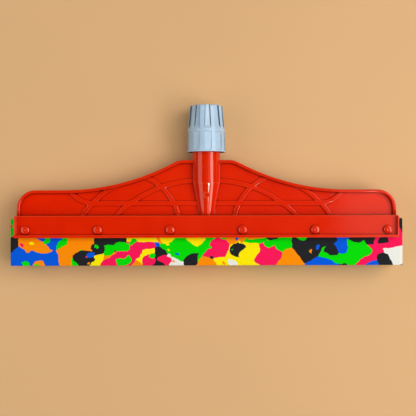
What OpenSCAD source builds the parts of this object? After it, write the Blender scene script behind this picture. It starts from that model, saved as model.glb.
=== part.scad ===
// Floor squeegee head with two foam blades, a ribbed frame and a locking cap for a round pole.
// Lying on its back: X runs along the blades, +Y towards the pole and +Z up from the floor.
// All sizes are in millimetres. Heights along Y are worked out from the blades' wiping edge.

/* [Head] */
// Width of the frame and of the clamp bars on it
head_w = 390; // [360:1:600]

/* [Foam blades] */
// How far the foam blades stand out past the clamp at each end
blade_overhang = 5; // [0:0.5:15]
// Height of each foam blade
blade_h = 48; // [46:0.5:60]
// Thickness of each foam blade
blade_t = 8; // [5:0.5:12]
// Foam left free below the clamp bars
blade_drop = 29; // [22:0.5:32]

/* [Clamp bars] */
// Thickness of a bar's flat web
bar_t = 3; // [2:0.1:5]
// How far a bar's lips stand above its web
lip_h = 4.7; // [2:0.1:6]
// Width of the lip along a bar's lower edge
lip_w = 2.4; // [1.5:0.1:3]
// Width of the lips at a bar's ends
end_lip_w = 1.5; // [1:0.1:4]
// Corner radius of a bar's outline
bar_corner_r = 1.6; // [0.8:0.1:3]
// Rounding of the edge of a bar's web
bar_edge_r = 1.2; // [0.4:0.1:1.8]

/* [Rivets] */
// Number of rivets along the clamp
rivet_count = 6; // [4:1:8]
// Distance from a bar's end to the first rivet
rivet_inset = 10.8; // [9:0.1:20]
// Height of the rivets above a bar's lower edge
rivet_rise = 7.6; // [7.2:0.1:12]
// Diameter of a rivet's shank
shank_d = 5; // [3.5:0.1:6]
// Diameter of a rivet's head at the bar
head_d = 8.8; // [7:0.1:9.4]
// Radius of the dome on a rivet's head
dome_r = 6; // [5:0.1:9]
// Height of a rivet's head
head_h = 4.1; // [1.5:0.1:4.6]
// Diameter of the dimple in a head
dimple_d = 3; // [1.5:0.1:4]
// Depth of the dimple in a head
dimple_depth = 0.8; // [0.3:0.1:1.2]

/* [Frame plate] */
// Height of the frame's ends above the clamp
end_rise = 26; // [22:0.5:32]
// Height of the frame's crest above the clamp
crest_rise = 56.6; // [52:0.5:62]
// Half the width of the level crest
crest_half_w = 23.5; // [20:0.5:34]
// Steepest slope of the frame's top edge between crest and end
slope_deg = 26.5; // [23:0.5:28]
// Radius where the crest turns down into the slope
brow_r = 20; // [10:1:30]
// Radius where the slope sweeps out into the end
sweep_r = 240; // [150:5:250]
// Radius of the frame's outer corners
corner_r = 19; // [8:0.5:21]
// Thickness of the frame's web
web_t = 3; // [2:0.1:5]
// Width of the rim round the frame
rim_w = 3.2; // [2.4:0.1:5]
// Depth of the rim from front to back
rim_depth = 14; // [9:0.5:18]
// Thickness of the skirt between the two blades
skirt_t = 8; // [7:0.5:12]
// Thickness of the ledge that the blades butt against
ledge_t = 3; // [2:0.1:5]
// Wall left round the hollows cored into the skirt
skirt_wall = 2.2; // [1.6:0.1:2.8]
// Depth of the hollows cored into the skirt
core_depth = 12; // [6:0.5:14]

/* [Arched ribs] */
// Width of a rib
rib_w = 4.8; // [3:0.1:7]
// How far a rib stands above the web
rib_raise = 2; // [0.8:0.1:2.4]
// Height of the level tie rib above the clamp
tie_rise = 12.3; // [9:0.1:16]
// Distance from the middle to where the tie rib turns up
tie_half_len = 116.6; // [100:0.2:125]
// Radius of the tie rib's upturned end
tie_end_r = 28.4; // [20:0.2:36]
// Radius of the long arch
long_arch_r = 119; // [100:1:125]
// Centre of the long arch beside the middle
long_arch_x = 7.8; // [0:0.2:16]
// Centre of the long arch below the clamp
long_arch_drop = 83.4; // [70:0.2:88]
// Radius of the outer arch
outer_arch_r = 83.5; // [74:0.5:90]
// Centre of the outer arch beside the middle
outer_arch_x = 57.3; // [50:0.2:64]
// Centre of the outer arch below the clamp
outer_arch_drop = 45; // [38:0.2:52]
// Radius of the inner arch
inner_arch_r = 54.6; // [46:0.2:60]
// Centre of the inner arch beside the middle
inner_arch_x = 82.6; // [76:0.2:90]
// Centre of the inner arch below the clamp
inner_arch_drop = 11.8; // [6:0.2:18]

/* [Pole socket] */
// Diameter of the pole that the socket takes
pole_d = 22; // [18:0.1:23]
// Radial clearance between pole and socket
pole_gap = 0.25; // [0.1:0.05:0.4]
// Outside diameter of the socket
socket_d = 29; // [28:0.1:30]
// Step down from the socket to the cone below it
socket_step = 0.4; // [0.1:0.1:0.8]
// Length of the cone that runs down to the clamp
cone_len = 32.6; // [26:0.2:40]
// Diameter of the cone at the clamp
cone_foot_d = 15.6; // [13:0.2:20]
// Thickness of the cone's wall
cone_wall = 2.6; // [2.2:0.1:3.6]
// Bare socket between the frame's crest and the cap
neck_len = 8.2; // [4:0.2:16]
// Diameter of the threaded collar at the socket's mouth
collar_d = 32.8; // [32:0.1:33.4]
// Length of the threaded collar
collar_len = 10.5; // [8:0.1:12]
// Rounding where the socket meets the web
socket_fillet_r = 1; // [1:0.1:2.5]
// Rounding where the cone meets the web
cone_fillet_r = 0.8; // [0.4:0.1:0.9]
// Diameter of the moulding gate on the cone
gate_d = 7; // [4:0.1:8]
// Distance of the gate below the top of the cone
gate_drop = 12; // [8:0.2:18]
// How far the gate stands above the cone
gate_raise = 0.5; // [0.2:0.1:1]
// Width of the ring round the gate
gate_ring_w = 1.1; // [0.8:0.1:1.4]
// Depth of the dish inside the gate's ring
gate_dish = 0.3; // [0.1:0.1:0.6]

/* [Lock cap] */
// Diameter of the cap at its open end
cap_d = 39.4; // [38.6:0.1:42]
// Diameter of the cap halfway up, where the flutes begin
cap_waist_d = 38.2; // [37.4:0.1:38.6]
// Diameter of the cap below its rounded top
cap_top_d = 34; // [33.4:0.1:36]
// Length of the cap
cap_len = 48.2; // [46:0.2:54]
// Length of the cap's skirt below the flutes
cap_skirt_len = 22.4; // [22:0.2:25]
// Height of the plain band round the cap's open end
cap_band_h = 1.8; // [1:0.1:3]
// Depth of the threaded part inside the cap
cap_thread_len = 22; // [18:0.2:23]
// Rounding of the cap's top edge
cap_round = 2.4; // [1:0.1:3]
// Thickness of the cap's top wall
cap_top_t = 3.2; // [2:0.1:4]
// Number of flutes round the cap
flute_count = 10; // [6:1:14]
// Width of a flute where the flutes begin
flute_w = 7.6; // [6.4:0.1:9]
// Depth of the flutes in the upper half
flute_depth = 2; // [0.8:0.1:2.2]
// Slant of a flute's side walls
flute_draft_deg = 24; // [5:1:27]
// Length of the slope at a flute's lower end
flute_slope_len = 4.6; // [2:0.2:7]
// Depth of the flat panels in the skirt
panel_depth = 0.4; // [0.2:0.1:0.6]
// Turn of the first flute away from the top
flute_turn = 4.6; // [0:0.2:36]

/* [Split collet] */
// Slack of the open collet round the pole socket's bore
collet_slack = 0.25; // [0.1:0.05:0.4]
// Thickness of a collet finger at its tip
collet_tip_t = 1.4; // [1:0.1:1.8]
// Thickness of the collet's ring at its foot
collet_ring_t = 3.2; // [2.6:0.1:3.4]
// Height of the collet's unsplit ring
collet_ring_h = 5; // [3:0.1:8]
// Number of slits in the collet
slit_count = 6; // [3:1:10]
// Width of a slit
slit_w = 1.6; // [0.8:0.1:2.4]

/* [Fits] */
// Running gap between the cap and what it turns on
run_gap = 0.3; // [0.2:0.05:0.4]
// Radial gap of a rivet in its holes
hole_gap = 0.2; // [0.1:0.05:0.4]
// Gap between a blade and the ledge above it
stop_gap = 0.3; // [0.2:0.05:0.5]

/* [Hidden] */
$fn = 64;
// Points along each round stretch of the web's outline, which the rim covers
arc_steps = 14;
// How far a cutting tool runs past the face that it cuts
past = 1;
// How far joined shapes of one piece reach into each other
bite = 0.6;

// Heights along Y, from the wiping edge up
ledge_y = blade_h + stop_gap;
base_y = ledge_y + ledge_t;
bar_h = base_y - blade_drop;
rivet_y = blade_drop + rivet_rise;
skirt_y = blade_drop + lip_w;
end_y = base_y + end_rise;
crest_y = base_y + crest_rise;
cone_y = base_y + cone_len;
cap_y = crest_y + neck_len;
socket_end_y = cap_y + cap_thread_len;
top_y = cap_y + cap_len;

// Depths along Z, from the frame's middle plane out
blade_z = skirt_t / 2;
bar_z = blade_z + blade_t;
head_z = bar_z + bar_t;
lip_z = head_z + lip_h;
rest_z = max(lip_z, cap_d / 2);

// Places along X
head_x = head_w / 2;
blade_len = head_w + 2 * blade_overhang;
rivet_pitch = (head_w - 2 * rivet_inset) / (rivet_count - 1);
rivet_xs = [for (i = [0 : rivet_count - 1]) (i - (rivet_count - 1) / 2) * rivet_pitch];
brow_centre = [crest_half_w, crest_y - brow_r];
turn_r = brow_r + sweep_r;
slope = min(slope_deg, acos(1 - 0.95 * (crest_y - end_y) / turn_r));
slope_drop = crest_y - end_y - turn_r * (1 - cos(slope));
sweep_x = crest_half_w + turn_r * sin(slope) + slope_drop / tan(slope);
sweep_centre = [sweep_x, end_y + sweep_r];
corner_centre = [head_x - corner_r, end_y - corner_r];

// Radii about the socket's axis
bore_r = pole_d / 2 + pole_gap;
socket_r = socket_d / 2;
cone_top_r = socket_r - socket_step;
cone_foot_r = cone_foot_d / 2;
cone_lean = atan((cone_top_r - cone_foot_r) / cone_len);
collar_r = collar_d / 2;
collar_y = socket_end_y - collar_len;
cap_bore_r = collar_r + run_gap;
cap_clear_r = 0.6 * cap_d;
collet_r = bore_r + collet_slack;
collet_foot_r = collet_r + collet_ring_t;
collet_tip_r = collet_r + collet_tip_t;
collet_len = cap_len - cap_thread_len - cap_top_t - run_gap;
mouth_r = (collet_r + collet_tip_r) / 2;

// The frame stands with its origin under the middle of its outline, on the floor.
module place() {
    translate([0, -top_y / 2, rest_z]) children();
}

// A shape drawn round Z, laid along the socket's axis.
module along_y() {
    rotate([-90, 0, 0]) children();
}

// The other side, left or right, of a shape drawn on the right.
module both_sides() {
    children();
    mirror([1, 0, 0]) children();
}

// A rectangle from x = 0 with rounded corners, centred on y = 0.
module rounded_bar(w, h, r) {
    translate([r, -h / 2]) square([w - 2 * r, h]);
    translate([0, -h / 2 + r]) square([w, h - 2 * r]);
    for (x = [r, w - r], y = [r - h / 2, h / 2 - r]) translate([x, y]) circle(r);
}

// A section in Y and Z, drawn out along X.
module run_along_x(len) {
    rotate([90, 0, 90]) linear_extrude(len) children();
}

// Points on a circle between two directions.
function arc_points(centre, r, from, to) = [
    for (i = [0 : arc_steps])
        let (a = from + (to - from) * i / arc_steps) centre + r * [cos(a), sin(a)]
];

// The right half of the frame's edge, moved inwards by inset and ended at height foot_y.
function edge_points(inset, foot_y) = concat(
    arc_points(brow_centre, brow_r - inset, 90, 90 - slope),
    arc_points(sweep_centre, sweep_r + inset, 270 - slope, 270),
    arc_points(corner_centre, corner_r - inset, 90, 0),
    [[head_x - inset, foot_y]]
);

// The frame's outline, moved inwards by inset and ended at height foot_y.
module frame_outline(inset, foot_y) {
    right = edge_points(inset, foot_y);
    last = len(right) - 1;
    polygon(concat(right, [for (i = [last : -1 : 0]) [-right[i].x, right[i].y]]));
}

// The web in the middle plane, reaching halfway into the rim round it.
module web() {
    linear_extrude(web_t, center = true) frame_outline(rim_w / 2, ledge_y + ledge_t / 2);
}

// The rim along the crest, the slopes, the ends and down to the ledge.
module rim() {
    linear_extrude(rim_depth, center = true) difference() {
        frame_outline(0, ledge_y + ledge_t / 2);
        frame_outline(rim_w, ledge_y);
    }
}

// The band that a rib takes along a circle, between two directions from its centre.
// The centre is x beside the middle and drop below the clamp.
module arch_band(x, drop, r, from, to) {
    translate([x, base_y - drop]) intersection() {
        difference() {
            circle(r + rib_w / 2, $fn = 180);
            circle(r - rib_w / 2, $fn = 180);
        }
        polygon(concat([[0, 0]], arc_points([0, 0], 2 * r, from, to)));
    }
}

// The ribs of the right half in plan, long enough to run into the rim and the ledge.
module rib_plan_half() {
    arch_band(long_arch_x, long_arch_drop, long_arch_r, 40, 92);
    arch_band(outer_arch_x, outer_arch_drop, outer_arch_r, 28, 70);
    arch_band(inner_arch_x, inner_arch_drop, inner_arch_r, 105, 172);
    translate([0, base_y + tie_rise - rib_w / 2]) square([tie_half_len, rib_w]);
    arch_band(tie_half_len, -tie_rise - tie_end_r, tie_end_r, 270, 345);
}

// All ribs, standing out alike from both faces of the web.
module ribs() {
    linear_extrude(web_t + 2 * rib_raise, center = true) intersection() {
        both_sides() rib_plan_half();
        frame_outline(rim_w / 2, ledge_y + ledge_t / 2);
    }
}

// The skirt that the blades lie against, with the ledge above it.
module skirt() {
    translate([-head_x, skirt_y, -skirt_t / 2])
        cube([head_w, ledge_y + bite - skirt_y, skirt_t]);
    translate([-head_x, ledge_y, -bar_z]) cube([head_w, ledge_t, 2 * bar_z]);
}

// Hollows cored into the skirt from below, between the rivets.
module skirt_hollows() {
    boss_w = shank_d + 2 * (hole_gap + skirt_wall);
    for (i = [0 : rivet_count - 2])
        translate([rivet_xs[i] + boss_w / 2, skirt_y - past, skirt_wall - skirt_t / 2])
            cube([rivet_pitch - boss_w, core_depth + past, skirt_t - 2 * skirt_wall]);
}

// The outside of the socket, its cone and the threaded collar at its mouth.
module socket_body() {
    along_y() rotate_extrude() polygon([
        [0, base_y - bite], [cone_foot_r, base_y - bite], [cone_foot_r, base_y],
        [cone_top_r, cone_y], [socket_r, cone_y], [socket_r, collar_y],
        [collar_r, collar_y + collar_r - socket_r], [collar_r, socket_end_y], [0, socket_end_y]
    ]);
    gate_mark();
}

// The round mark where the mould was filled, a ring about a shallow dish, square to the cone.
module gate_mark() {
    root = 0.6 * cone_wall;
    translate([0, cone_y - gate_drop, cone_top_r - gate_drop * tan(cone_lean)])
        rotate([cone_lean, 0, 0]) difference() {
            translate([0, 0, -root]) cylinder(root + gate_raise, d = gate_d);
            translate([0, 0, gate_raise - gate_dish])
                cylinder(gate_dish + past, d = gate_d - 2 * gate_ring_w);
        }
}

// The space inside the socket, open at the mouth and drawn in along the cone.
module socket_bore() {
    core_r = cone_foot_r - cone_wall;
    along_y() rotate_extrude() polygon([
        [0, base_y + cone_wall], [core_r, base_y + cone_wall], [bore_r, cone_y],
        [bore_r, socket_end_y + past], [0, socket_end_y + past]
    ]);
}

// A concave strip in the corner between the web and the socket, drawn out along Y.
module fillet_strip(len, r) {
    rotate([90, 0, 180]) mirror([1, 0, 0]) linear_extrude(len) difference() {
        translate([-bite, 0]) square([r + bite, web_t / 2 + r]);
        translate([r, web_t / 2 + r]) circle(r);
    }
}

// The strips along the socket and along the cone, front and back on the right.
module socket_fillets() {
    for (back = [0, 1]) mirror([0, 0, back]) {
        translate([socket_r, cone_y - bite, 0])
            fillet_strip(crest_y - rim_w / 2 - cone_y + bite, socket_fillet_r);
        translate([cone_foot_r, base_y, 0]) rotate(-cone_lean)
            fillet_strip(cone_len / cos(cone_lean) + bite, cone_fillet_r);
    }
}

module rivet_holes(r) {
    for (x = rivet_xs) translate([x, rivet_y, -rest_z]) cylinder(2 * rest_z, r = r);
}

module head_frame() {
    color("#d92405") difference() {
        union() {
            web();
            rim();
            ribs();
            skirt();
            socket_body();
            both_sides() socket_fillets();
        }
        socket_bore();
        skirt_hollows();
        rivet_holes(shank_d / 2 + hole_gap);
    }
}

// A clamp bar in front of its blade: a flat web with lips below it and at its ends.
module clamp_bar() {
    color("#dc2606") difference() {
        translate([-head_w / 2, blade_drop + bar_h / 2, bar_z])
            linear_extrude(bar_t + lip_h) rounded_bar(head_w, bar_h, bar_corner_r);
        translate([end_lip_w - head_w / 2, blade_drop + lip_w, head_z])
            cube([head_w - 2 * end_lip_w, bar_h, lip_h + past]);
        translate([end_lip_w - head_w / 2, base_y - bar_edge_r, head_z - bar_edge_r])
            run_along_x(head_w - 2 * end_lip_w) difference() {
                square(bar_edge_r + past);
                circle(bar_edge_r);
            }
        rivet_holes(shank_d / 2 + hole_gap);
    }
}

module front_clamp_bar() {
    clamp_bar();
}

module rear_clamp_bar() {
    mirror([0, 0, 1]) clamp_bar();
}

module foam_blade() {
    color("#3f9a3a") difference() {
        translate([-blade_len / 2, 0, blade_z]) cube([blade_len, blade_h, blade_t]);
        rivet_holes(shank_d / 2 + hole_gap);
    }
}

module front_foam_blade() {
    foam_blade();
}

module rear_foam_blade() {
    mirror([0, 0, 1]) foam_blade();
}

// A rivet's domed head on the front bar, with a dimple in its middle.
module rivet_head() {
    difference() {
        intersection() {
            rotate_extrude() polygon([
                [0, head_z - bite], [shank_d / 2, head_z - bite], [shank_d / 2, head_z],
                [head_d / 2, head_z], [head_d / 2, head_z + head_h + past], [0, head_z + head_h + past]
            ]);
            translate([0, 0, head_z + head_h - dome_r]) sphere(dome_r);
        }
        translate([0, 0, head_z + head_h - dimple_depth])
            cylinder(dimple_depth + past, d1 = dimple_d, d2 = dimple_d + 2 * past);
    }
}

// One rivet through both bars, both blades and the skirt, headed at both ends.
module rivet() {
    translate([0, 0, -head_z]) cylinder(2 * head_z, d = shank_d);
    rivet_head();
    mirror([0, 0, 1]) rivet_head();
}

module clamp_rivets() {
    color("#e02a0a") for (x = rivet_xs) translate([x, rivet_y, 0]) rivet();
}

// A tapered ring, split from its tip into fingers that the cap squeezes onto the pole.
module split_collet() {
    color("#e9ecea") along_y() difference() {
        translate([0, 0, socket_end_y]) rotate_extrude() polygon([
            [collet_r, 0], [collet_foot_r, 0], [collet_foot_r, collet_ring_h / 2],
            [collet_tip_r, collet_len], [collet_r, collet_len]
        ]);
        for (i = [0 : slit_count - 1]) rotate(i * 360 / slit_count)
            translate([0, -slit_w / 2, socket_end_y + collet_ring_h])
                cube([cap_d, slit_w, collet_len]);
    }
}

// The cap's solid shape, open end down, with its top edge rounded.
module cap_outside() {
    top_r = cap_top_d / 2;
    rotate_extrude() {
        polygon([
            [0, 0], [cap_d / 2, 0], [cap_d / 2, cap_band_h / 2], [cap_waist_d / 2, cap_skirt_len],
            [top_r, cap_len - cap_round], [top_r - cap_round, cap_len], [0, cap_len]
        ]);
        translate([top_r - cap_round, cap_len - cap_round]) circle(cap_round);
    }
}

// The space inside the cap: threaded skirt, tapered seat for the collet and the pole's way in.
module cap_inside() {
    seat_foot_r = collet_foot_r + run_gap;
    seat_tip_r = collet_tip_r + run_gap;
    rotate_extrude() polygon([
        [0, -past], [cap_bore_r, -past], [cap_bore_r, cap_thread_len],
        [seat_foot_r, cap_thread_len], [seat_foot_r, cap_thread_len + collet_ring_h / 2],
        [seat_tip_r, cap_len - cap_top_t], [mouth_r, cap_len - cap_top_t],
        [mouth_r, cap_len + past], [0, cap_len + past]
    ]);
}

// A shape in radius and height, drawn out sideways by a width about its middle.
module sideways(width) {
    rotate([90, 0, 0]) linear_extrude(width, center = true) children();
}

// One flute with slanting walls, a flat floor, a sloping lower end and an open top.
module cap_flute() {
    waist_r = cap_waist_d / 2;
    top_r = cap_top_d / 2;
    taper = (waist_r - top_r) / (cap_len - cap_round - cap_skirt_len);
    slope_foot = [waist_r, cap_skirt_len + flute_depth / 4];
    slope_head = slope_foot + [-flute_depth - taper * flute_slope_len, flute_slope_len];
    slope_past = slope_foot + (slope_foot - slope_head) / 4;
    rise = cap_len + past - slope_head.y;
    inner_r = top_r - 2 * flute_depth;
    inner_w = flute_w - 2 * (waist_r - inner_r) * tan(flute_draft_deg);
    outer_w = flute_w + 2 * (cap_clear_r - waist_r) * tan(flute_draft_deg);
    intersection() {
        sideways(2 * outer_w) polygon([
            slope_head, slope_past, [cap_d, slope_past.y], [cap_d, cap_len + past],
            [slope_head.x - taper * rise, cap_len + past]
        ]);
        linear_extrude(cap_len + 2 * past) polygon([
            [inner_r, -inner_w / 2], [cap_clear_r, -outer_w / 2],
            [cap_clear_r, outer_w / 2], [inner_r, inner_w / 2]
        ]);
    }
}

// One flat panel on the skirt below a flute, between two plain bands.
module cap_panel() {
    panel_w = 1.9 * (cap_waist_d / 2 - panel_depth) * tan(180 / flute_count);
    sideways(panel_w) polygon([
        [cap_d / 2 - panel_depth, cap_band_h], [cap_clear_r, cap_band_h],
        [cap_clear_r, cap_skirt_len - cap_band_h],
        [cap_waist_d / 2 - panel_depth, cap_skirt_len - cap_band_h]
    ]);
}

module lock_cap() {
    color("#a9c3d6") along_y() translate([0, 0, cap_y]) difference() {
        cap_outside();
        cap_inside();
        for (i = [0 : flute_count - 1]) rotate(flute_turn - 90 + i * 360 / flute_count) {
            cap_flute();
            cap_panel();
        }
    }
}

place() head_frame();
place() front_clamp_bar();
place() rear_clamp_bar();
place() front_foam_blade();
place() rear_foam_blade();
place() clamp_rivets();
place() split_collet();
place() lock_cap();
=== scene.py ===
"""Dresses the floor squeegee's CAD frame: head, clamp bars, rivets, foam blades, collet and lock cap."""

import math

import bmesh
import bpy
from bpy.props import FloatProperty, FloatVectorProperty, IntProperty, PointerProperty
from mathutils import Matrix, Quaternion, Vector


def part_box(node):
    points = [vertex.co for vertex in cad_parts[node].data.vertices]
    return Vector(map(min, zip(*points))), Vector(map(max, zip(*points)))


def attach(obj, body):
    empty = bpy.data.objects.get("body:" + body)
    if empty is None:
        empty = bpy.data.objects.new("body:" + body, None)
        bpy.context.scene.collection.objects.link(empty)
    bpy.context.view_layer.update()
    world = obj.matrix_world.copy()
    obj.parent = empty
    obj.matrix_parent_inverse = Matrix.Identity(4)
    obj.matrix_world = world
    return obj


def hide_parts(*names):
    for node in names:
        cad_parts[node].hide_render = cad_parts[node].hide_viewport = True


bl_info = {
    "name": "Floor Squeegee",
    "version": (1, 0, 0),
    "blender": (4, 5, 0),
    "location": "View3D > Sidebar > Squeegee",
    "description": "Builds the visible pieces of a double-bladed floor squeegee round its CAD frame",
    "category": "Add Mesh",
}

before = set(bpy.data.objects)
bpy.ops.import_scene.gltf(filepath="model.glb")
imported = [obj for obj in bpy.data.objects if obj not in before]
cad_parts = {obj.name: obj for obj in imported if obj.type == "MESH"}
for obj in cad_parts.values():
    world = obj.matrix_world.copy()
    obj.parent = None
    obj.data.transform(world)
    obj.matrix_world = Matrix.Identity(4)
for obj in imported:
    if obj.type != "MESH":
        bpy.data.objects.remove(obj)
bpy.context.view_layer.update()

# Places that the pieces share, read from the CAD frame, in metres.
BAR_LOW, BAR_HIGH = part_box("front_clamp_bar")
BLADE_LOW, BLADE_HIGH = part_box("front_foam_blade")
RIVETS_LOW, RIVETS_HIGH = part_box("clamp_rivets")
CAP_LOW, CAP_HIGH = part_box("lock_cap")
MIDDLE_Z = (CAP_LOW.z + CAP_HIGH.z) / 2
AXIS = Vector((0, 0, MIDDLE_Z))

# Faces of the CAD head: heights above its middle plane, then the socket and the cone that runs into it.
RIM_TOP = 0.007
RIB_TOP = 0.0035
WEB_FACE = 0.0015
CREST_Y = 0.02575
SOCKET_RADIUS = 0.0145
CONE_FOOT_Y, CONE_FOOT_RADIUS = -0.03085, 0.0078
CONE_TOP_Y, CONE_TOP_RADIUS = 0.00175, 0.0141

# Points closer than this are one point, and faces that turn less than this are one face.
MERGE = 1e-6
FLAT_ANGLE = math.radians(0.3)

# Edges that turn more than this are drawn sharp: on most pieces, and on the cap.
SHARP_ANGLE = math.radians(32)
CREASE_ANGLE = math.radians(19)


def length(name, text, default, low=0.0, high=0.1):
    """A size in metres that a user may change."""
    return FloatProperty(
        name=name, description=text, default=default, min=low, max=high, unit="LENGTH", precision=5
    )


def watts(name, text, default):
    """A light's power that a user may change."""
    return FloatProperty(name=name, description=text, default=default, min=0.0, unit="POWER")


def strength(name, text, default):
    """The strength of a light from far away that a user may change."""
    return FloatProperty(name=name, description=text, default=default, min=0.0, subtype="UNSIGNED")


def tint(name, text, red, green, blue):
    """A colour, given as the screen shows it, that a user may change."""
    return FloatVectorProperty(
        name=name,
        description=text,
        subtype="COLOR",
        size=3,
        min=0.0,
        max=1.0,
        default=[linear(c / 255) for c in (red, green, blue)],
    )


def linear(c):
    """The light that a screen value stands for."""
    return c / 12.92 if c <= 0.04045 else ((c + 0.055) / 1.055) ** 2.4


class SqueegeeSizes(bpy.types.PropertyGroup):
    """Sizes of the roundings and of the pieces made here."""

    rim_round: length("Rim rounding", "Radius on the edges of the frame's rim", 0.0013)
    rib_round: length("Rib rounding", "Radius on the upper edges of the ribs", 0.001)
    bar_web: length("Bar web", "Thickness of a clamp bar's flat web", 0.003)
    bar_lip: length("Bar lip", "Width of the lip along a clamp bar's lower edge", 0.0029)
    bar_drop: length("Bar drop", "How far a bar hangs below the CAD bar", 0.0005)
    bar_end_lip: length("Bar end lip", "Width of the lips at a clamp bar's ends", 0.0015)
    bar_corner: length("Bar corner", "Radius of a clamp bar's corners", 0.0015)
    bar_brow: length("Bar brow", "Radius along the upper front edge of a clamp bar", 0.0004)
    bar_round: length("Bar rounding", "Radius on the other edges of a clamp bar", 0.0005)
    rivet_shank: length("Rivet shank", "Diameter of a rivet's shank", 0.005)
    rivet_head: length("Rivet head", "Diameter of a rivet's head", 0.0088)
    rivet_crown: length("Rivet crown", "Radius to which the top of a rivet's head falls away", 0.005)
    rivet_flat: length("Rivet flat", "Diameter of the level middle of a rivet's head", 0.0025)
    rivet_dimple: length("Rivet dimple", "Diameter of the dimple in a rivet's head", 0.0032)
    rivet_dimple_depth: length("Dimple depth", "Depth of the dimple in a rivet's head", 0.0003)
    rivet_round: length("Rivet rounding", "Radius round the edge of a rivet's head", 0.0005)
    rivet_steps: IntProperty(
        name="Rivet steps", description="Faces round a rivet", default=48, min=12, max=96, subtype="UNSIGNED"
    )
    blade_round: length("Blade rounding", "Radius on the cut edges of a foam blade", 0.0005)
    blade_corner: length("Blade corner", "Radius on the upper corners of a foam blade", 0.0016)
    blade_swell: length("Blade swell", "How far the foam swells below the clamp bar", 0.00035)
    flute_round: length("Flute rounding", "Radius on the edges of the cap's flutes", 0.0004)
    cap_mouth: length("Cap mouth", "Radius to which the cap's bore widens at its mouth", 0.018)
    panel_step: length("Panel step", "Width of the step round the panels on the cap's skirt", 0.0002)
    panel_depth: length("Panel depth", "Depth of the step round the panels on the cap's skirt", 0.0006)
    collet_round: length("Collet rounding", "Radius on the edges of the split collet", 0.0002)


class SqueegeeColours(bpy.types.PropertyGroup):
    """Colours of the finishes."""

    frame_red: tint("Frame red", "The moulded frame", 233, 39, 0)
    frame_deep: tint("Deep red", "The clouded parts of the moulded frame", 225, 33, 0)
    # Painted shade: a dark red laid into the frame's corners and round the feet of its ribs, rim, bar and
    # rivets.
    frame_painted_shade: tint("Frame corners", "The sheltered corners of the moulded frame", 142, 9, 0)
    # Painted highlight: a paler red laid along the frame's convex edges.
    frame_painted_highlight: tint("Frame edges", "The rubbed edges of the moulded frame", 255, 88, 46)
    # Painted shade: a dark blue laid into the cap's corners and onto its flute walls and mouth.
    cap_painted_shade: tint("Cap corners", "The sheltered corners and flute walls of the lock cap", 74, 101, 122)
    cap_blue: tint("Cap", "The satin lock cap", 184, 212, 234)
    cap_deep: tint("Cap shade", "The clouded parts of the lock cap", 176, 202, 223)
    collet_white: tint("Collet", "The natural nylon of the split collet", 226, 222, 208)
    chip_black: tint("Black chips", "Foam chips", 34, 35, 38)
    chip_orange: tint("Orange chips", "Foam chips", 255, 143, 0)
    chip_blue: tint("Blue chips", "Foam chips", 0, 90, 222)
    chip_green: tint("Green chips", "Foam chips", 0, 221, 0)
    chip_yellow: tint("Yellow chips", "Foam chips", 255, 235, 0)
    chip_pink: tint("Pink chips", "Foam chips", 250, 22, 88)
    chip_white: tint("White chips", "Foam chips", 236, 236, 226)
    floor: tint("Floor", "The plain floor", 226, 180, 128)


class SqueegeeStage(bpy.types.PropertyGroup):
    """Camera and lights."""

    camera_height: length("Camera height", "Height of the camera above the floor", 0.8807, 0.3, 3.0)
    lens: FloatProperty(
        name="Lens", description="Focal length in millimetres", default=72.0, min=20, max=200, unit="CAMERA"
    )
    right_power: watts("Right light", "Right softbox", 8.4)
    wash_power: watts("Right wash", "Weak light beside the right softbox", 0.95)
    left_power: watts("Left light", "Left softbox", 4.3)
    spark_power: watts("Spark", "Small light for the glint on the cone", 2.6)
    sheen_power: watts("Sheen", "Light for the sheen on the cap", 4.0)
    sky_strength: strength("Overhead", "Strength of the broad light overhead", 1.05)
    fill: strength("Fill", "Strength of the even light all round", 0.18)


def sizes():
    """The sizes held by the scene."""
    return bpy.context.scene.squeegee_sizes


def colours():
    """The colours held by the scene."""
    return bpy.context.scene.squeegee_colours


def screen(colour):
    """A colour for a shader's socket."""
    return (*colour, 1.0)


# Meshes


def from_axis(place):
    """The distance of a place from the socket's axis."""
    return math.hypot(place.x, place.z - MIDDLE_Z)


def merged_copy(node, turned=0.0):
    """A closed copy of a CAD node's mesh, its flat faces whole again outside a radius about the socket."""
    bm = bmesh.new()
    bm.from_mesh(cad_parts[node].data)
    bmesh.ops.remove_doubles(bm, verts=bm.verts, dist=MERGE)
    outside = [v for v in bm.verts if from_axis(v.co) >= turned]
    edges = [e for e in bm.edges if max(from_axis(v.co) for v in e.verts) >= turned]
    bmesh.ops.dissolve_limit(bm, angle_limit=FLAT_ANGLE, verts=outside, edges=edges)
    return bm


def block(low, high):
    """A box between two corners."""
    bm = bmesh.new()
    bmesh.ops.create_cube(bm, size=1.0)
    bmesh.ops.scale(bm, vec=high - low, verts=bm.verts)
    bmesh.ops.translate(bm, vec=(low + high) / 2, verts=bm.verts)
    return bm


def cut(bm, place, across):
    """Cuts each face that a plane crosses in two."""
    geom = bm.verts[:] + bm.edges[:] + bm.faces[:]
    bmesh.ops.bisect_plane(bm, geom=geom, dist=MERGE, plane_co=place, plane_no=across)


def mirror_to_rear(bm):
    """Turns a piece of the front into its twin on the rear side."""
    bmesh.ops.scale(bm, vec=(1, 1, -1), verts=bm.verts, space=Matrix.Translation(-AXIS))
    bmesh.ops.recalc_face_normals(bm, faces=bm.faces)


def round_edges(bm, edges, radius, segments):
    """Rounds the edges."""
    bmesh.ops.bevel(
        bm,
        geom=edges,
        offset=radius,
        offset_type="OFFSET",
        segments=segments,
        profile=0.5,
        affect="EDGES",
        clamp_overlap=False,
        material=-1,
    )


def bend(edge):
    """How sharply an edge turns: above zero outwards, below zero inwards."""
    return edge.calc_face_angle_signed(0.0) if edge.is_manifold else 0.0


def outward(bm, least):
    """The edges that turn outwards by more than an angle in degrees."""
    return [e for e in bm.edges if bend(e) > math.radians(least)]


def upright(edge):
    """Whether an edge rises from the floor."""
    return abs(edge.verts[0].co.z - edge.verts[1].co.z) > MERGE


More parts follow.
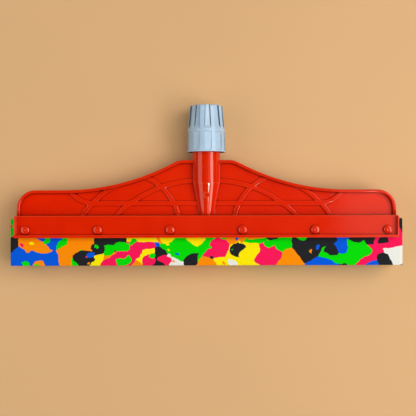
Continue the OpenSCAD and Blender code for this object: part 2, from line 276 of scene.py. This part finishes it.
def at_level(edge, height):
    """Whether an edge lies at a height to either side of the frame's middle plane."""
    return all(abs(abs(v.co.z - MIDDLE_Z) - height) < 2 * MERGE for v in edge.verts)


WALL_ANGLE = math.radians(45)
SLANT_ANGLE = math.radians(40)


def runs_out(edge):
    """Whether an edge ends at a slant against a wall, where no room is left to round it."""
    for vert in edge.verts:
        along = (edge.other_vert(vert).co - vert.co).normalized()
        for wall in vert.link_edges:
            if wall != edge and bend(wall) < -WALL_ANGLE:
                if along.angle((wall.other_vert(vert).co - vert.co).normalized()) < SLANT_ANGLE:
                    return True
    return False


def finished(bm, name, body, node, material, sharp=SHARP_ANGLE):
    """Makes the mesh a piece that stands for a CAD node and rides on a body."""
    bmesh.ops.remove_doubles(bm, verts=bm.verts, dist=MERGE)
    mesh = bpy.data.meshes.new(name)
    bm.to_mesh(mesh)
    bm.free()
    mesh.shade_smooth()
    mesh.set_sharp_from_angle(angle=sharp)
    mesh.materials.append(material)
    piece = bpy.data.objects.new(name, mesh)
    bpy.context.scene.collection.objects.link(piece)
    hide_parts(node)
    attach(piece, body)
    return piece


def weigh_normals(piece):
    """Keeps the flat faces flat beside their rounded edges."""
    weighted = piece.modifiers.new("Weighted normals", "WEIGHTED_NORMAL")
    weighted.keep_sharp = True
    weighted.weight = 60


# How far a turned face's points may lie off its cone, and how well its normal has to agree with the cone's.
CONE_SLACK = 0.00003
CONE_AGREEMENT = 0.985


def cone_normals(face, places, widest):
    """The normals of a face up to an angle wide that lies on a cone about the socket's axis, or None."""
    rays = [Vector((p.x, 0, p.z)).normalized() for p in places]
    middle = sum(rays, Vector()).normalized()
    if min(middle.dot(ray) for ray in rays) < math.cos(widest / 2):
        return None
    radii = [math.hypot(p.x, p.z) for p in places]
    mean_y = sum(p.y for p in places) / len(places)
    mean_r = sum(radii) / len(places)
    spread = sum((p.y - mean_y) ** 2 for p in places)
    if spread < MERGE**2:
        return None
    flare = sum((p.y - mean_y) * (r - mean_r) for p, r in zip(places, radii)) / spread
    if max(abs(r - mean_r - flare * (p.y - mean_y)) for p, r in zip(places, radii)) > CONE_SLACK:
        return None
    facing = math.copysign(1.0, face.normal.dot(middle))
    normals = [(ray - Vector((0, flare, 0))).normalized() * facing for ray in rays]
    agrees = face.normal.dot(sum(normals, Vector()).normalized()) >= CONE_AGREEMENT
    return normals if agrees else None


def turn_normals(piece, widest):
    """Weighs the normals, and makes those of the faces turned about the socket's axis truly round."""
    weigh_normals(piece)
    mesh = piece.data
    weighed = piece.evaluated_get(bpy.context.evaluated_depsgraph_get()).data
    normals = [corner.vector.copy() for corner in weighed.corner_normals]
    for face in mesh.polygons:
        turned = cone_normals(face, [mesh.vertices[v].co - AXIS for v in face.vertices], widest)
        if turned:
            for loop, normal in zip(face.loop_indices, turned):
                normals[loop] = normal
    piece.modifiers.clear()
    mesh.normals_split_custom_set(normals)


# Materials


class Shader:
    """A material and short ways to add and link its nodes."""

    def __init__(self, name):
        self.material = bpy.data.materials.new(name)
        self.material.use_nodes = True
        self.tree = self.material.node_tree
        self.surface = self.tree.nodes["Principled BSDF"]
        coordinates = self.tree.nodes.new("ShaderNodeTexCoord")
        self.place = coordinates.outputs["Object"]
        self.facing = coordinates.outputs["Normal"]

    def node(self, kind, sockets=None, **settings):
        """A node with its settings made and its sockets set or linked."""
        made = self.tree.nodes.new(kind)
        for key, value in settings.items():
            setattr(made, key, value)
        for key, value in (sockets or {}).items():
            self.feed(made.inputs[key], value)
        return made

    def feed(self, socket, value):
        """Links an output to a socket, or sets a plain value on it."""
        if isinstance(value, bpy.types.NodeSocket):
            self.tree.links.new(value, socket)
        else:
            socket.default_value = value

    def set(self, **sockets):
        """Sets or links the surface's own sockets."""
        for key, value in sockets.items():
            self.feed(self.surface.inputs[key.replace("_", " ")], value)

    def noise(self, scale, detail=2.0, roughness=0.5, where=None, distortion=0.0, output="Fac"):
        """Smooth noise from 0 to 1."""
        return self.node(
            "ShaderNodeTexNoise",
            {
                "Vector": where or self.place,
                "Scale": scale,
                "Detail": detail,
                "Roughness": roughness,
                "Distortion": distortion,
            },
        ).outputs[output]

    def span(self, value, low, high, to_low=0.0, to_high=1.0):
        """A value moved from one range to another."""
        return self.node(
            "ShaderNodeMapRange",
            {"Value": value, "From Min": low, "From Max": high, "To Min": to_low, "To Max": to_high},
        ).outputs["Result"]

    def laid(self, scale, location=(0.0, 0.0, 0.0)):
        """The place, stretched along the axes and moved."""
        return self.node(
            "ShaderNodeMapping", {"Vector": self.place, "Location": location, "Scale": scale}
        ).outputs["Vector"]

    def warped(self, where, scale, reach, detail=2.0, roughness=0.5):
        """A place that wanders up to a reach to all sides."""
        wander = self.noise(scale, detail, roughness, where, output="Color")
        middle = self.vectors("SUBTRACT", wander, (0.5, 0.5, 0.5))
        return self.vectors("MULTIPLY_ADD", middle, (reach, reach, reach), where)

    def numbers(self, how, a, b=0.0):
        """Two values worked into one."""
        return self.node("ShaderNodeMath", {0: a, 1: b}, operation=how).outputs["Value"]

    def vectors(self, how, *operands, output="Vector"):
        """Vectors worked into one, or into a value."""
        return self.node("ShaderNodeVectorMath", dict(enumerate(operands)), operation=how).outputs[output]

    def mix(self, share, a, b):
        """A colour between two others."""
        # A mix node has a socket of each name for every kind of data, so the colours' ones go by number.
        return self.node("ShaderNodeMix", {0: share, 6: a, 7: b}, data_type="RGBA").outputs[2]

    def steps(self, value, ladder):
        """The colour of the highest step of a ladder that a value reaches."""
        ramp = self.node("ShaderNodeValToRGB", {"Fac": value})
        band = ramp.color_ramp
        band.interpolation = "CONSTANT"
        while len(band.elements) < len(ladder):
            band.elements.new(1.0)
        for element, (place, colour) in zip(band.elements, ladder):
            element.position = place
            element.color = screen(colour)
        return ramp.outputs["Color"]

    def cells(self, where, scale, feature):
        """Cells of random size, whose outputs are the distance from their middle and a random colour."""
        return self.node(
            "ShaderNodeTexVoronoi", {"Vector": where, "Scale": scale, "Randomness": 1.0}, feature=feature
        ).outputs

    def free_share(self, reach, inside):
        """The share of the space within reach that is open, outside or inside the material."""
        return self.node(
            "ShaderNodeAmbientOcclusion", {"Distance": reach}, samples=8, inside=inside
        ).outputs["AO"]

    def corner_shade(self, reach, low, high):
        """How open a place is, for painting shade into corners: 0 in a sheltered corner, painted darkest, and
        1 in the open.
        """
        return self.span(self.free_share(reach, inside=False), low, high)

    def edge_highlight(self, reach, low, high):
        """How far a place stands out, for a painted highlight: 0 on a broad face and 1 on an edge, which is
        painted paler.
        """
        return self.span(self.free_share(reach, inside=True), low, high, 1.0, 0.0)

    def facing_off(self):
        """How far a face turns off the socket's rays: 0 on round faces, 1 on flute walls and the mouth."""
        ray = self.vectors("SUBTRACT", self.place, AXIS)
        around = self.vectors("NORMALIZE", self.vectors("CROSS_PRODUCT", ray, (0.0, 1.0, 0.0)))
        sideways = self.numbers("ABSOLUTE", self.vectors("DOT_PRODUCT", around, self.facing, output="Value"))
        down = self.vectors("DOT_PRODUCT", self.facing, (0.0, -1.0, 0.0), output="Value")
        return self.numbers("MAXIMUM", sideways, down)

    def bump(self, height, strength, distance, under=None):
        """A normal from a height, laid over another."""
        sockets = {"Height": height, "Strength": strength, "Distance": distance}
        if under is not None:
            sockets["Normal"] = under
        return self.node("ShaderNodeBump", sockets).outputs["Normal"]


def moulded_red():
    """Glossy red polypropylene: clouded colour, painted shade in the corners, painted highlights on the
    edges, flow ripples, fine grain and a few scuffs.
    """
    s = Shader("moulded_red_polypropylene")
    cloud = s.span(s.noise(26.0, detail=3.0, roughness=0.55), 0.35, 0.7)
    colour = s.mix(cloud, screen(colours().frame_red), screen(colours().frame_deep))
    # Painted highlight pales the frame's convex edges.
    colour = s.mix(s.edge_highlight(0.0009, 0.62, 0.95), colour, screen(colours().frame_painted_highlight))
    # Painted shade darkens the frame's corners and the feet of its ribs, rim, bar and rivets.
    colour = s.mix(s.corner_shade(0.0026, 0.36, 0.8), screen(colours().frame_painted_shade), colour)
    streaks = s.noise(60.0, detail=4.0, roughness=0.7, where=s.laid((0.5, 9.0, 9.0)), distortion=0.6)
    scuff = s.span(streaks, 0.64, 0.74, 0.0, 0.1)
    rough = s.numbers("ADD", s.span(s.noise(90.0, detail=3.0), 0.3, 0.7, 0.09, 0.14), scuff)
    ripple = s.bump(s.noise(38.0, roughness=0.4), strength=0.12, distance=0.0006)
    normal = s.bump(s.noise(1400.0, roughness=0.6), strength=0.08, distance=0.0001, under=ripple)
    s.set(Base_Color=colour, Roughness=rough, Normal=normal, IOR=1.49)
    s.set(Specular_IOR_Level=1.0, Specular_Tint=(1.0, 0.74, 0.62, 1.0))
    return s.material


def satin_cap():
    """Satin grey-blue plastic with a fine grain, with shade painted into its corners, onto its flute walls
    and onto its mouth.
    """
    s = Shader("satin_cap_plastic")
    cloud = s.span(s.noise(70.0, detail=3.0, roughness=0.55), 0.35, 0.7)
    colour = s.mix(cloud, screen(colours().cap_blue), screen(colours().cap_deep))
    # Painted shade darkens the cap's corners.
    colour = s.mix(s.corner_shade(0.0016, 0.2, 0.85), screen(colours().cap_painted_shade), colour)
    # Painted shade darkens the flute walls and the mouth, the faces that turn off the socket's rays.
    colour = s.mix(s.span(s.facing_off(), 0.5, 0.85), colour, screen(colours().cap_painted_shade))
    rough = s.span(s.noise(160.0, detail=3.0), 0.3, 0.7, 0.32, 0.42)
    normal = s.bump(s.noise(1600.0, roughness=0.6), strength=0.1, distance=0.0001)
    s.set(Base_Color=colour, Roughness=rough, Normal=normal, IOR=1.5, Specular_IOR_Level=0.6)
    return s.material


def natural_nylon():
    """Natural white nylon, a little clouded."""
    s = Shader("natural_nylon")
    cloud = s.span(s.noise(120.0, detail=3.0), 0.3, 0.7)
    pale = screen(colours().collet_white)
    deep = screen([c * 0.9 for c in colours().collet_white])
    rough = s.span(s.noise(200.0), 0.3, 0.7, 0.36, 0.48)
    normal = s.bump(s.noise(1500.0), strength=0.08, distance=0.0001)
    s.set(Base_Color=s.mix(cloud, pale, deep), Roughness=rough, Normal=normal)
    s.set(Subsurface_Weight=0.08, Subsurface_Scale=0.002)
    return s.material


# The spot in the endless block of foam where the blades are cut, and how the foam is pressed there.
FOAM_SPOT = (-2.19, 2.08, 1.58)
FOAM_PRESS = (0.85, 1.0, 1.0)

# Large flakes fill the foam. Smaller ones lie in it: their scale, the share of their cells and their reach.
LARGE_FLAKES = 46.0
SMALL_FLAKES = ((72.0, 0.27, 0.56), (130.0, 0.11, 0.56), (270.0, 0.025, 0.55))


def chip_foam():
    """Bonded foam chips of seven colours: large torn flakes, with smaller flakes and specks between them."""
    s = Shader("bonded_chip_foam")
    c = colours()
    ladder = [
        (0.0, c.chip_green),
        (0.23, c.chip_black),
        (0.41, c.chip_orange),
        (0.58, c.chip_pink),
        (0.73, c.chip_yellow),
        (0.85, c.chip_blue),
        (0.93, c.chip_white),
    ]

    def flakes(where, scale):
        """The distance from the middle of each flake, and two random numbers of its own."""
        cells = s.cells(where, scale, "F1")
        parts = s.node("ShaderNodeSeparateColor", {"Color": cells["Color"]})
        return cells["Distance"], parts.outputs["Red"], parts.outputs["Green"]

    bent = s.warped(s.laid(FOAM_PRESS, FOAM_SPOT), 42.0, 0.014, detail=1.0)
    torn = s.warped(bent, 260.0, 0.002, roughness=0.55)
    colour = s.steps(flakes(torn, LARGE_FLAKES)[1], ladder)
    for scale, share, reach in SMALL_FLAKES:
        far, pick, chance = flakes(torn, scale)
        inside = s.numbers("LESS_THAN", far, reach)
        chosen = s.numbers("LESS_THAN", chance, share)
        colour = s.mix(s.numbers("MULTIPLY", inside, chosen), colour, s.steps(pick, ladder))
    shade = s.span(s.noise(900.0), 0.25, 0.75, 0.94, 1.04)
    colour = s.node("ShaderNodeHueSaturation", {"Color": colour, "Value": shade}).outputs["Color"]
    pores = s.cells(s.place, 1500.0, "SMOOTH_F1")["Distance"]
    rough = s.span(s.noise(300.0), 0.3, 0.7, 0.72, 0.84)
    s.set(Base_Color=colour, Roughness=rough, Normal=s.bump(pores, strength=0.25, distance=0.0002))
    s.set(Specular_IOR_Level=0.1)
    return s.material


def plain_floor():
    """A plain matt floor, very slightly clouded."""
    s = Shader("plain_floor")
    shade = s.span(s.noise(5.0), 0.3, 0.7)
    pale = screen(colours().floor)
    deep = screen([v * 0.97 for v in colours().floor])
    s.set(Base_Color=s.mix(shade, pale, deep), Roughness=0.75, Specular_IOR_Level=0.2)
    return s.material


FINISHES = {
    moulded_red: "moulded_red_polypropylene",
    satin_cap: "satin_cap_plastic",
    natural_nylon: "natural_nylon",
    chip_foam: "bonded_chip_foam",
    plain_floor: "plain_floor",
}


def finish(maker):
    """A finish that several pieces share, made once."""
    return bpy.data.materials.get(FINISHES[maker]) or maker()


# Pieces

# How far the points of the small fillets lie from the plain corner: above it, inside it and outside it, and
# outside it on the shoulder where the cone meets the socket.
FILLET_HEIGHT = 0.00102
FILLET_SINK = 0.0006
FILLET_REACH = 0.00115
SHOULDER_REACH, SHOULDER_LENGTH = 0.00175, 0.0007
FILLET_MERGE = 0.00001


def bare_corners(bm):
    """Draws the small fillets beside the socket and its cone into the plain corner that the photo shows."""
    for vert in bm.verts:
        x, y, z = abs(vert.co.x), vert.co.y, abs(vert.co.z - MIDDLE_Z)
        if not (CONE_FOOT_Y < y < CREST_Y and WEB_FACE - MERGE < z < WEB_FACE + FILLET_HEIGHT):
            continue
        share = (y - CONE_FOOT_Y) / (CONE_TOP_Y - CONE_FOOT_Y)
        cone = CONE_FOOT_RADIUS + share * (CONE_TOP_RADIUS - CONE_FOOT_RADIUS)
        radius = SOCKET_RADIUS if y > CONE_TOP_Y - MERGE else cone
        corner = math.sqrt(radius**2 - WEB_FACE**2)
        widest = SHOULDER_REACH if abs(y - CONE_TOP_Y) < SHOULDER_LENGTH else FILLET_REACH
        if -FILLET_SINK < x - corner < widest:
            vert.co.x = math.copysign(corner, vert.co.x)
            vert.co.z = MIDDLE_Z + math.copysign(WEB_FACE, vert.co.z - MIDDLE_Z)
    bmesh.ops.remove_doubles(bm, verts=bm.verts, dist=FILLET_MERGE)
    bmesh.ops.dissolve_degenerate(bm, edges=bm.edges, dist=MERGE)


# The radius about the socket's axis within which the head's faces stay as the CAD turned them.
SOCKET_REACH = 0.0165


class HeadFrame(bpy.types.Operator):
    """Round the edges of the moulded head's rim and ribs"""

    bl_idname = "squeegee.head_frame"
    bl_label = "Head frame"

    def execute(self, context):
        size = sizes()
        bm = merged_copy("head_frame", SOCKET_REACH)
        bare_corners(bm)
        rim = [e for e in outward(bm, 45) if at_level(e, RIM_TOP)]
        round_edges(bm, rim, size.rim_round, 4)
        ribs = [e for e in outward(bm, 45) if at_level(e, RIB_TOP) and not runs_out(e)]
        round_edges(bm, ribs, size.rib_round, 4)
        piece = finished(bm, "moulded_head", "head", "head_frame", finish(moulded_red))
        turn_normals(piece, math.radians(60))
        return {"FINISHED"}


def clamp_bar_mesh(size):
    """The front clamp bar: a web whose lower edge and ends are drawn up into lips."""
    web = BAR_LOW.z + size.bar_web
    low = BAR_LOW - Vector((0, size.bar_drop, 0))
    high = Vector((BAR_HIGH.x, BAR_HIGH.y - size.bar_drop, web))
    bm = block(low, high)
    round_edges(bm, [e for e in bm.edges if upright(e)], size.bar_corner, 4)
    lip_x = high.x - size.bar_end_lip
    lip_y = low.y + size.bar_lip
    cut(bm, (lip_x, 0, 0), (1, 0, 0))
    cut(bm, (-lip_x, 0, 0), (1, 0, 0))
    cut(bm, (0, lip_y, 0), (0, 1, 0))
    lips = []
    for face in bm.faces:
        middle = face.calc_center_median()
        if face.normal.z > 0.9 and (abs(middle.x) > lip_x or middle.y < lip_y):
            lips.append(face)
    raised = bmesh.ops.extrude_face_region(bm, geom=lips)["geom"]
    bmesh.ops.delete(bm, geom=lips, context="FACES_KEEP_BOUNDARY")
    raised = [v for v in raised if isinstance(v, bmesh.types.BMVert)]
    bmesh.ops.translate(bm, vec=(0, 0, BAR_HIGH.z - web), verts=raised)

    def on_brow(vert):
        """Whether a point lies on the web's upper front edge."""
        return vert.co.y > high.y - MERGE and abs(vert.co.z - web) < MERGE

    brow = [e for e in outward(bm, 50) if all(on_brow(v) for v in e.verts)]
    round_edges(bm, brow, size.bar_brow, 4)
    sharp = [e for e in bm.edges if abs(bend(e)) > math.radians(50)]
    round_edges(bm, sharp, size.bar_round, 3)
    return bm


class ClampBars(bpy.types.Operator):
    """Build the two clamp bars with their lips"""

    bl_idname = "squeegee.clamp_bars"
    bl_label = "Clamp bars"

    def execute(self, context):
        for node, name in (("front_clamp_bar", "front_bar"), ("rear_clamp_bar", "rear_bar")):
            bm = clamp_bar_mesh(sizes())
            if name == "rear_bar":
                mirror_to_rear(bm)
            piece = finished(bm, name, "head", node, finish(moulded_red))
            weigh_normals(piece)
        return {"FINISHED"}


RIVET_COUNT = 6
DOME_STEPS = 16


def rivet_mesh(size):
    """One rivet on the Z axis, spun from its profile, with a dimpled head at both ends."""
    half = size.rivet_head / 2
    seat = BAR_LOW.z + size.bar_web

    def crown(r):
        """The height of the head's top at a radius."""
        past = max(0.0, r - size.rivet_flat / 2)
        fall = size.rivet_crown - math.sqrt(size.rivet_crown**2 - past**2)
        dip = size.rivet_dimple_depth * (1 + math.cos(math.pi * min(2 * r / size.rivet_dimple, 1))) / 2
        return RIVETS_HIGH.z - fall - dip

    upper = [(half * i / DOME_STEPS, crown(half * i / DOME_STEPS)) for i in range(DOME_STEPS + 1)]
    upper += [(half, seat), (size.rivet_shank / 2, seat)]
    profile = upper + [(r, 2 * MIDDLE_Z - z) for r, z in reversed(upper)]
    bm = bmesh.new()
    points = [bm.verts.new((r, 0.0, z)) for r, z in profile]
    line = [bm.edges.new(pair) for pair in zip(points, points[1:])]
    bmesh.ops.spin(
        bm,
        geom=points + line,
        cent=(0, 0, 0),
        axis=(0, 0, 1),
        angle=2 * math.pi,
        steps=size.rivet_steps,
        use_merge=True,
    )
    bmesh.ops.remove_doubles(bm, verts=bm.verts, dist=MERGE)
    bmesh.ops.recalc_face_normals(bm, faces=bm.faces)

    def on_rim(vert):
        """Whether a point lies on the edge of a head."""
        level = abs(vert.co.z - MIDDLE_Z) - (crown(half) - MIDDLE_Z)
        return abs(math.hypot(vert.co.x, vert.co.y) - half) < MERGE and abs(level) < MERGE

    round_edges(bm, [e for e in bm.edges if all(on_rim(v) for v in e.verts)], size.rivet_round, 3)
    return bm


class ClampRivets(bpy.types.Operator):
    """Set the row of rivets, headed at both ends"""

    bl_idname = "squeegee.clamp_rivets"
    bl_label = "Clamp rivets"

    def execute(self, context):
        size = sizes()
        bm = rivet_mesh(size)
        one = bpy.data.meshes.new("one_rivet")
        bm.to_mesh(one)
        bm.clear()
        y = (RIVETS_LOW.y + RIVETS_HIGH.y) / 2
        first = RIVETS_LOW.x + size.rivet_head / 2
        pitch = (RIVETS_HIGH.x - RIVETS_LOW.x - size.rivet_head) / (RIVET_COUNT - 1)
        for i in range(RIVET_COUNT):
            before = len(bm.verts)
            bm.from_mesh(one)
            bm.verts.ensure_lookup_table()
            bmesh.ops.translate(bm, vec=(first + i * pitch, y, 0), verts=bm.verts[before:])
        bpy.data.meshes.remove(one)
        piece = finished(bm, "rivets", "head", "clamp_rivets", finish(moulded_red))
        weigh_normals(piece)
        return {"FINISHED"}


FOAM_COLUMNS = 80
FOAM_ROWS = 24

# The swelling starts below the bar, is full after the rise, has gone at the fade and waves along the blade.
SWELL_START = 0.0004
SWELL_RISE = 0.004
SWELL_FADE = 0.03
SWELL_WAVE = 0.2
SWELL_WAVES = 61.0


def foam_blade_mesh(size):
    """The front foam blade: a cut block with rounded upper corners, swollen a little below the clamp bar."""
    low, high = BLADE_LOW, BLADE_HIGH
    bm = block(low, high)
    corners = [e for e in bm.edges if upright(e) and all(v.co.y > high.y - MERGE for v in e.verts)]
    round_edges(bm, corners, size.blade_corner, 5)
    round_edges(bm, outward(bm, 45), size.blade_round, 3)
    for i in range(1, FOAM_COLUMNS):
        cut(bm, (low.x + (high.x - low.x) * i / FOAM_COLUMNS, 0, 0), (1, 0, 0))
    for i in range(1, FOAM_ROWS):
        cut(bm, (0, low.y + (high.y - low.y) * i / FOAM_ROWS, 0), (0, 1, 0))
    for vert in bm.verts:
        below = BAR_LOW.y - vert.co.y
        if below > SWELL_START and vert.co.z > (low.z + high.z) / 2:
            share = min(1.0, below / SWELL_RISE) * max(0.0, 1 - below / SWELL_FADE)
            wave = 1 - SWELL_WAVE + SWELL_WAVE * math.sin(vert.co.x * SWELL_WAVES)
            vert.co.z += size.blade_swell * share * wave
    return bm


class FoamBlades(bpy.types.Operator):
    """Cut the two foam blades and let them swell a little below the clamp bars"""

    bl_idname = "squeegee.foam_blades"
    bl_label = "Foam blades"

    def execute(self, context):
        for node, name in (("front_foam_blade", "front_foam"), ("rear_foam_blade", "rear_foam")):
            bm = foam_blade_mesh(sizes())
            if name == "rear_foam":
                mirror_to_rear(bm)
            piece = finished(bm, name, "head", node, finish(chip_foam))
        return {"FINISHED"}


class SplitCollet(bpy.types.Operator):
    """Round the edges of the split collet"""

    bl_idname = "squeegee.split_collet"
    bl_label = "Split collet"

    def execute(self, context):
        bm = merged_copy("split_collet")
        round_edges(bm, outward(bm, 40), sizes().collet_round, 2)
        piece = finished(bm, "collet", "collet", "split_collet", finish(natural_nylon))
        weigh_normals(piece)
        return {"FINISHED"}


# The panels are the cap's only upright faces larger than this.
PANEL_AREA = 0.0001


class LockCap(bpy.types.Operator):
    """Widen the fluted lock cap's mouth, round its edges and step its panels"""

    bl_idname = "squeegee.lock_cap"
    bl_label = "Lock cap"

    def execute(self, context):
        size = sizes()
        bm = merged_copy("lock_cap")
        mouth = [v for v in bm.verts if v.co.y < CAP_LOW.y + MERGE]
        bore = min(from_axis(v.co) for v in mouth)
        inner = [v for v in mouth if from_axis(v.co) < bore + MERGE]
        wider = size.cap_mouth / bore
        bmesh.ops.scale(bm, vec=(wider, 1, wider), verts=inner, space=Matrix.Translation(-AXIS))
        round_edges(bm, outward(bm, 40), size.flute_round, 4)
        panels = [f for f in bm.faces if abs(f.normal.y) < 0.1 and f.calc_area() > PANEL_AREA]
        bmesh.ops.inset_individual(
            bm, faces=panels, thickness=size.panel_step, depth=-size.panel_depth, use_even_offset=True
        )
        # Each panel runs out flush at its upper end.
        for panel in panels:
            upper = max(v.co.y for v in panel.verts) - size.panel_step
            ends = [v for v in panel.verts if v.co.y > upper]
            bmesh.ops.translate(bm, vec=panel.normal * size.panel_depth, verts=ends)
        piece = finished(bm, "cap", "cap", "lock_cap", finish(satin_cap), CREASE_ANGLE)
        turn_normals(piece, math.radians(12))
        return {"FINISHED"}


# Stage

FLOOR_REACH = 30.0
SKY_SPREAD = math.radians(60)
SKY_TILT = (math.radians(-4), math.radians(26), 0.0)
FILL_COLOUR = (1.0, 0.985, 0.96, 1.0)
SENSOR_WIDTH = 36.0
CAMERA_PLACE = (0.0016, -0.02355)
CAMERA_TURN = (0.0, 0.0, math.radians(-0.15))


def softbox(name, power, tilt, size, distance=1.25, turn=0.0):
    """An even light, tilted off straight up to the right and towards the pole, and turned, all in degrees."""
    lamp = bpy.data.lights.new(name, "AREA")
    lamp.energy = power
    lamp.shape = "RECTANGLE"
    lamp.size, lamp.size_y = size
    light = bpy.data.objects.new(name, lamp)
    bpy.context.scene.collection.objects.link(light)
    right, polewards = (math.tan(math.radians(angle)) for angle in tilt)
    up = Vector((right, polewards, 1.0)).normalized()
    light.location = up * distance
    facing = up.to_track_quat("Z", "Y") @ Quaternion((0, 0, 1), math.radians(turn))
    light.rotation_euler = facing.to_euler()
    return light


def glint(light, piece):
    """Lets a light give a highlight on one piece and nothing else."""
    light.visible_diffuse = False
    lit = bpy.data.collections.new(light.name)
    lit.objects.link(bpy.data.objects[piece])
    light.light_linking.receiver_collection = lit


def lay_floor(scene):
    """The plain floor, wide enough for every view."""
    bm = bmesh.new()
    bmesh.ops.create_grid(bm, x_segments=1, y_segments=1, size=FLOOR_REACH)
    mesh = bpy.data.meshes.new("floor")
    bm.to_mesh(mesh)
    bm.free()
    mesh.materials.append(finish(plain_floor))
    floor = bpy.data.objects.new("floor", mesh)
    scene.collection.objects.link(floor)


def set_lights(scene, look):
    """Softboxes to the right and left, two lights for highlights, a broad light overhead and an even fill."""
    softbox("right_softbox", look.right_power, tilt=(46.0, -2.0), size=(1.4, 0.48), turn=14.0)
    softbox("right_wash", look.wash_power, tilt=(24.6, 0.0), size=(1.4, 0.44), distance=1.3)
    softbox("left_softbox", look.left_power, tilt=(-53.0, -2.0), size=(1.4, 0.8))
    glint(softbox("spark_light", look.spark_power, tilt=(21.0, -18.8), size=(0.05, 0.05)), "moulded_head")
    glint(softbox("sheen_light", look.sheen_power, tilt=(8.0, 24.0), size=(0.3, 0.25)), "cap")
    sky = bpy.data.lights.new("overhead_sky", "SUN")
    sky.energy = look.sky_strength
    sky.angle = SKY_SPREAD
    overhead = bpy.data.objects.new("overhead_sky", sky)
    overhead.rotation_euler = SKY_TILT
    overhead.visible_glossy = False
    scene.collection.objects.link(overhead)
    world = bpy.data.worlds.new("soft_fill")
    world.use_nodes = True
    around = world.node_tree.nodes["Background"]
    around.inputs["Color"].default_value = FILL_COLOUR
    around.inputs["Strength"].default_value = look.fill
    scene.world = world
    world.cycles_visibility.glossy = False
    scene.view_settings.view_transform = "Standard"


def aim_camera(scene, look):
    """The camera, straight above the object as in the photo."""
    eye = bpy.data.cameras.new("camera")
    eye.lens = look.lens
    eye.sensor_width = SENSOR_WIDTH
    camera = bpy.data.objects.new("camera", eye)
    scene.collection.objects.link(camera)
    camera.location = (*CAMERA_PLACE, look.camera_height)
    camera.rotation_euler = CAMERA_TURN
    scene.camera = camera


class Stage(bpy.types.Operator):
    """Lay the floor and set the lights and the camera"""

    bl_idname = "squeegee.stage"
    bl_label = "Stage"

    def execute(self, context):
        scene = context.scene
        lay_floor(scene)
        set_lights(scene, scene.squeegee_stage)
        aim_camera(scene, scene.squeegee_stage)
        return {"FINISHED"}


# Add-on


class SqueegeePanel(bpy.types.Panel):
    """Lists the squeegee's pieces, sizes and colours"""

    bl_idname = "VIEW3D_PT_squeegee"
    bl_label = "Floor squeegee"
    bl_space_type = "VIEW_3D"
    bl_region_type = "UI"
    bl_category = "Squeegee"

    def draw(self, context):
        scene = context.scene
        for operator in OPERATORS:
            self.layout.operator(operator.bl_idname)
        for group in (scene.squeegee_sizes, scene.squeegee_colours, scene.squeegee_stage):
            box = self.layout.box()
            for key in group.__annotations__:
                box.prop(group, key)


OPERATORS = (HeadFrame, ClampBars, ClampRivets, FoamBlades, SplitCollet, LockCap, Stage)
CLASSES = (SqueegeeSizes, SqueegeeColours, SqueegeeStage, *OPERATORS, SqueegeePanel)


def register():
    """Registers the classes and gives each scene its settings."""
    for cls in CLASSES:
        bpy.utils.register_class(cls)
    bpy.types.Scene.squeegee_sizes = PointerProperty(type=SqueegeeSizes)
    bpy.types.Scene.squeegee_colours = PointerProperty(type=SqueegeeColours)
    bpy.types.Scene.squeegee_stage = PointerProperty(type=SqueegeeStage)


def unregister():
    """Takes away what register added."""
    del bpy.types.Scene.squeegee_stage
    del bpy.types.Scene.squeegee_colours
    del bpy.types.Scene.squeegee_sizes
    for cls in reversed(CLASSES):
        bpy.utils.unregister_class(cls)


def main():
    """Builds every piece and the stage."""
    register()
    bpy.ops.squeegee.head_frame()
    bpy.ops.squeegee.clamp_bars()
    bpy.ops.squeegee.clamp_rivets()
    bpy.ops.squeegee.foam_blades()
    bpy.ops.squeegee.split_collet()
    bpy.ops.squeegee.lock_cap()
    bpy.ops.squeegee.stage()


if __name__ == "__main__":
    main()
